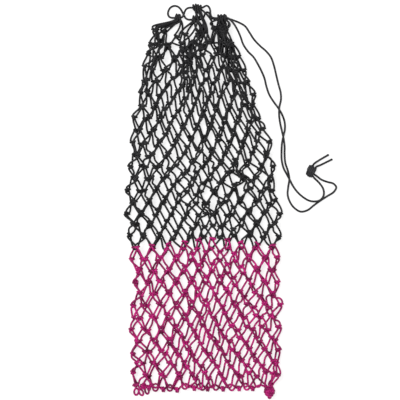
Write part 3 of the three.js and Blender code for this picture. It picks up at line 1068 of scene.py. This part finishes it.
def row_path(row):
    """One closed length of twine: wrap, bar down, bight, bar up, and so on round the tube."""
    _, right = lower_neighbours(row - 1)
    parts = []
    for index in range(MESHES):
        parts += [
            net.knots[row - 1][index].wrap, net.down[row, index, 1:-1],
            net.knots[row][right[index]].bight, net.up[row, index, 1:-1],
        ]
    return above_floor(np.vstack(parts), TWINE + 2 * CLEAR)


def mouth_path():
    """The top row's twine: round the drawstring, down, through a knot's bight, and up again."""
    tips = [loop.tip() for loop in MOUTH_LOOPS]
    parts = []
    for tip, knot, next_tip in zip(tips, net.knots[0], tips[1:] + tips[:1]):
        parts += [tip, mouth_bar(tip, knot.bight), knot.bight, mouth_bar(knot.bight, next_tip)]
    return above_floor(np.vstack(parts), TWINE + 2 * CLEAR)


def mouth_bar(start, end):
    """Free twine between the drawstring and the first knots."""
    apart = np.linalg.norm(end[0] - start[-1])
    start_speed = unit(start[-1] - start[-3]) * apart * 0.5
    end_speed = unit(end[2] - end[0]) * apart * 0.5
    share = np.linspace(0, 1, int(apart / MOUTH_BAR_STEP) + 2)[:, None]
    bar = hermite(start[-1], start_speed, end[0], end_speed, share)
    bar[:, 0] += rng.normal(0, MOUTH_BAR_BOW) * np.sin(np.pi * share[:, 0])
    return bar[1:-1]


def make_rows():
    for row in range(1, KNOT_ROWS + 1):
        node = ROW_NODES[row]
        twine, slot = (black_twine, "black_twine") if row <= BLACK_ROWS else (pink_twine, "pink_twine")
        piece = tube(node + "_twine", row_path(row), TWINE, TWINE_SIDES, twine, closed=True)
        add_piece(piece, "net", slot, node)
    mouth = tube("mouth_loop_row_twine", mouth_path(), TWINE, TWINE_SIDES, black_twine, closed=True)
    add_piece(mouth, "net", "black_twine", "mouth_loop_row", "mouth_bunch_left",
              "mouth_bunch_middle_front", "mouth_bunch_middle_back",
              "mouth_bunch_right_front", "mouth_bunch_right_back")


make_rows()


# ---- Bottom ----
def lacing_coil(front, back):
    """Two turns of the lacing through the feet of a front and a back mesh."""
    feet = np.array([front[len(front) // 2], back[len(back) // 2]])
    middle = feet.mean(axis=0)
    deep = abs(feet[0, 2] - feet[1, 2]) / 2 + TWINE
    turn = np.linspace(-np.pi / 2, 3.5 * np.pi, 17)
    coil = np.stack([
        LACING_PITCH * (turn / (2 * np.pi) - 0.75),
        TWINE * np.cos(turn),
        deep * np.sin(turn),
    ], axis=1)
    return above_floor(coil + middle, TWINE)


def lacing_route():
    """From the corner knot, through each pair of last meshes, to the tie knot."""
    last = net.knots[KNOT_ROWS]
    stops = [np.array([[CORNER_KNOT.x + 0.006, CORNER_KNOT.y + 0.006, 0.009]])]
    stops += [
        lacing_coil(last[index].bight, last[MESHES - index].bight)
        for index in range(1, MESHES // 2 - 1)
    ]
    stops.append(np.array([[TIE_KNOT.x - 0.004, TIE_KNOT.y + 0.008, 0.009]]))
    route = [stops[0]]
    for before, after in zip(stops, stops[1:]):
        between = (before[-1] + after[0]) / 2 + (0, rng.uniform(0.008, 0.014), 0)
        route += [between[None], after]
    return above_floor(smooth_route(np.vstack(route), KNOT_STEP), TWINE)


def small_loop(centre, length, width, heading):
    """A loose loop of twine on the floor, low on one side."""
    turn = np.linspace(0, 2 * np.pi, 40, endpoint=False)
    flat = np.stack([length / 2 * np.cos(turn), width / 2 * np.sin(turn)], axis=1)
    cos, sin = math.cos(heading), math.sin(heading)
    flat = flat @ np.array([[cos, sin], [-sin, cos]])
    rise = TWINE / 2 + TWINE * 0.6 * (1 + np.sin(turn + 1))
    return np.column_stack([flat + centre, rise])


def spare_bend(right, up, height, turn):
    """A tight knot of the netting kind, on its own by the corner, as two strands."""
    place = np.array([CORNER_KNOT.x + right, CORNER_KNOT.y + up])
    knot = Knot(place, turned(np.eye(3), 2, turn), NETTING_KNOT, False)
    knot.lift(height)
    return knot.strands


def coiled(share, turns, radius, start, end, slant):
    """A strand wound round +Y, from start to end along it, with leaning turns."""
    turn = 2 * np.pi * turns * share
    return np.stack([
        radius * np.cos(turn),
        start + (end - start) * share + slant * np.sin(turn),
        TIE_FLATNESS * radius * np.sin(turn),
    ], axis=1)


def wound_knot():
    """The tie-off: twine wound down round its own tail, fat above and pointed below, then back
    up over the fat part at the other slant."""
    down = np.linspace(0, 1, 110)
    width = 0.0032 + 0.0076 * np.sin(np.pi * np.clip(down + 0.22, 0, 1)) ** 0.8
    inner = coiled(down, 6.5, width, start=0.015, end=-0.018, slant=0.0028)
    up = np.linspace(0, 1, 60)
    width = 0.0085 + 0.0050 * np.sin(np.pi * up)
    outer = coiled(up, 3.5, width, start=-0.008, end=0.012, slant=-0.0036)
    core = smooth_route(TIE_CORE, KNOT_STEP)
    middle = np.array([TIE_KNOT.x, TIE_KNOT.y, TIE_HEIGHT])
    return [above_floor(path + middle, TWINE) for path in (inner, outer, core)]


def strand_of(name, path):
    return tube(name, path, TWINE, TWINE_SIDES, pink_twine, blunt=TWINE / 2)


def tie_bottom():
    lacing = strand_of("lacing_twine", lacing_route())
    add_piece(lacing, "net", "pink_twine", "bottom_lacing")

    strands = [strand for bend in CORNER_BENDS for strand in spare_bend(*bend)]
    corner = [strand_of(f"corner_strand_{number}", path) for number, path in enumerate(strands)]
    for number, (right, up, length, width, heading) in enumerate(CORNER_LOOPS):
        centre = (CORNER_KNOT.x + right, CORNER_KNOT.y + up)
        path = small_loop(centre, length, width, heading)
        corner.append(
            tube(f"corner_loop_{number}", path, TWINE, TWINE_SIDES, pink_twine, closed=True))
    add_piece(joined("corner_knot_twine", corner), "net", "pink_twine", "bottom_corner_knot")

    tie = [strand_of(f"tie_strand_{number}", path) for number, path in enumerate(wound_knot())]
    add_piece(joined("tie_knot_twine", tie), "net", "pink_twine", "bottom_tie_knot")


tie_bottom()
